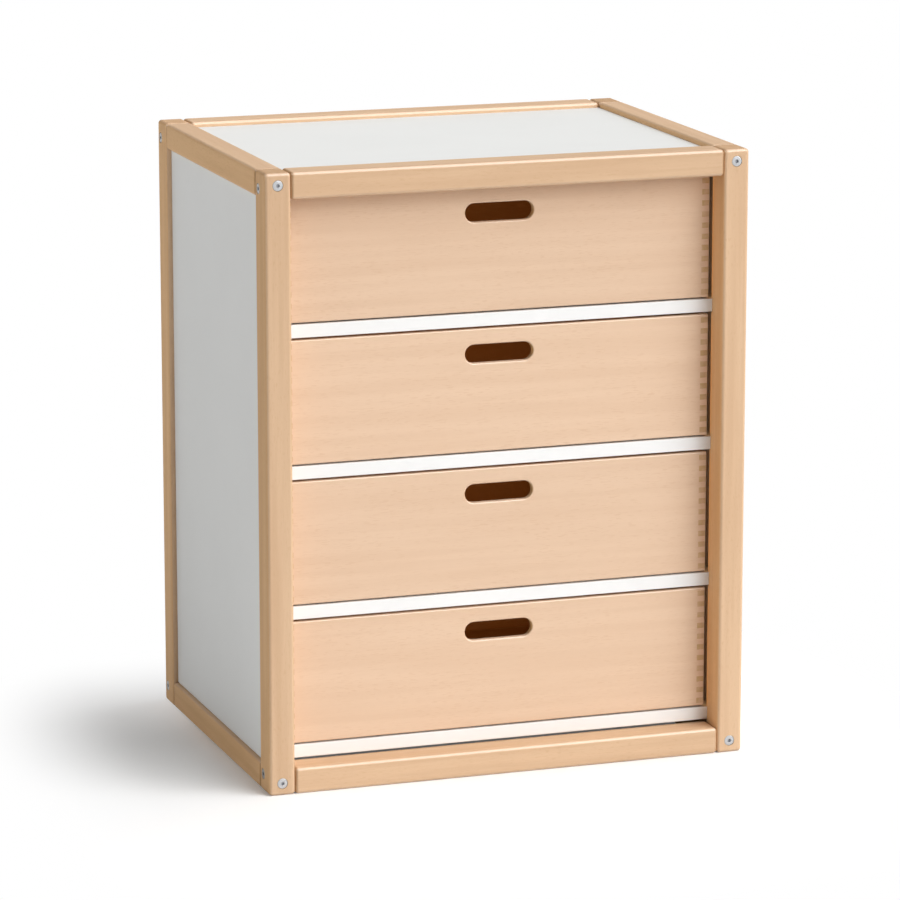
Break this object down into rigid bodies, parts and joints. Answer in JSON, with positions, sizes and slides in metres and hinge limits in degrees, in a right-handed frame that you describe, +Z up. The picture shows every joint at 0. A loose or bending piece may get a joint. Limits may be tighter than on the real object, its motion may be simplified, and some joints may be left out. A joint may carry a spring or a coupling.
{
  "type": "drawer unit",
  "caption": "Free-standing drawer unit: bolted beech bar frame with white inset panels and shelves, carrying finger-jointed beech drawers with hand slots.",
  "frame": {"origin": "middle of the footprint, on the floor that the frame stands on", "axes": "+Z up, +X to the right of a person who faces the drawers, -Y towards that person"},
  "size_m": [0.72, 0.55, 0.89],
  "materials": {
    "beech_frame": "solid beech, clear satin lacquer",
    "beech_drawer": "beech board, clear satin lacquer",
    "white_laminate": "chipboard with white melamine face and edging, satin",
    "zinc_steel": "zinc-plated steel",
    "dowel_wood": "raw beech",
    "drawer_ply": "thin beech plywood, clear satin lacquer",
    "glide_plastic": "plain sliding strip"
  },
  "bodies": {
    "cabinet": {"board_bottom": "white_laminate", "bolts_back": "zinc_steel", "bolts_front": "zinc_steel", "bolts_left": "zinc_steel", "bolts_right": "zinc_steel", "inserts": "zinc_steel", "panel_back": "white_laminate", "panel_left": "white_laminate", "panel_right": "white_laminate", "panel_top": "white_laminate", "post_back_left": "beech_frame", "post_back_right": "beech_frame", "post_front_left": "beech_frame", "post_front_right": "beech_frame", "rail_back_bottom": "beech_frame", "rail_back_top": "beech_frame", "rail_dowels": "dowel_wood", "rail_front_bottom": "beech_frame", "rail_front_top": "beech_frame", "rail_left_bottom": "beech_frame", "rail_left_top": "beech_frame", "rail_right_bottom": "beech_frame", "rail_right_top": "beech_frame", "shelf_1": "white_laminate", "shelf_2": "white_laminate", "shelf_3": "white_laminate", "shelf_dowels": "dowel_wood"},
    "drawer_1": {"drawer_1_back": "beech_drawer", "drawer_1_bottom": "drawer_ply", "drawer_1_front": "beech_drawer", "drawer_1_glides": "glide_plastic", "drawer_1_left": "beech_drawer", "drawer_1_right": "beech_drawer"},
    "drawer_2": {"drawer_2_back": "beech_drawer", "drawer_2_bottom": "drawer_ply", "drawer_2_front": "beech_drawer", "drawer_2_glides": "glide_plastic", "drawer_2_left": "beech_drawer", "drawer_2_right": "beech_drawer"},
    "drawer_3": {"drawer_3_back": "beech_drawer", "drawer_3_bottom": "drawer_ply", "drawer_3_front": "beech_drawer", "drawer_3_glides": "glide_plastic", "drawer_3_left": "beech_drawer", "drawer_3_right": "beech_drawer"},
    "drawer_4": {"drawer_4_back": "beech_drawer", "drawer_4_bottom": "drawer_ply", "drawer_4_front": "beech_drawer", "drawer_4_glides": "glide_plastic", "drawer_4_left": "beech_drawer", "drawer_4_right": "beech_drawer"}
  },
  "joints": [
    {"name": "drawer_1_slide", "type": "slide", "parent": "cabinet", "child": "drawer_1", "axis": [0, -1, 0], "range_m": [0, 0.36]},
    {"name": "drawer_2_slide", "type": "slide", "parent": "cabinet", "child": "drawer_2", "axis": [0, -1, 0], "range_m": [0, 0.36]},
    {"name": "drawer_3_slide", "type": "slide", "parent": "cabinet", "child": "drawer_3", "axis": [0, -1, 0], "range_m": [0, 0.36]},
    {"name": "drawer_4_slide", "type": "slide", "parent": "cabinet", "child": "drawer_4", "axis": [0, -1, 0], "range_m": [0, 0.36]}
  ]
}
